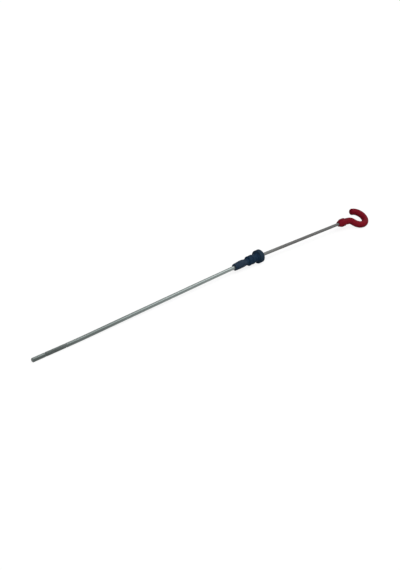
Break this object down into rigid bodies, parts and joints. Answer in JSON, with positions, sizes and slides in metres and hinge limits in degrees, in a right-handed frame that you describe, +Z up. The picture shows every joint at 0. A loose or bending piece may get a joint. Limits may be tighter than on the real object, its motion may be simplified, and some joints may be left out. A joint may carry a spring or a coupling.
{
  "type": "engine oil dipstick",
  "caption": "Long steel rod with level marks at its tip, a rubber stopper that seals the guide tube, and a moulded hook handle on a thinner wire; it reads an engine's oil level.",
  "frame": {"origin": "on the stopper's axis, midway between the two sealing rings", "axes": "+X up the stopper's axis towards the handle, level with the table; +Z up from the table; the measuring rod's tip is at -X"},
  "size_m": [0.5629, 0.0382, 0.0212],
  "materials": {
    "rod_steel": "drawn steel with a soft lengthwise sheen, matt hatching between the marks",
    "wire_steel": "dull grey drawn wire",
    "plug_rubber": "blue-black moulded rubber, satin",
    "handle_plastic": "dark red moulded plastic, satin"
  },
  "bodies": {
    "root": {"lower_rod": "rod_steel", "upper_rod": "wire_steel", "tube_plug": "plug_rubber", "handle": "handle_plastic"}
  },
  "joints": []
}
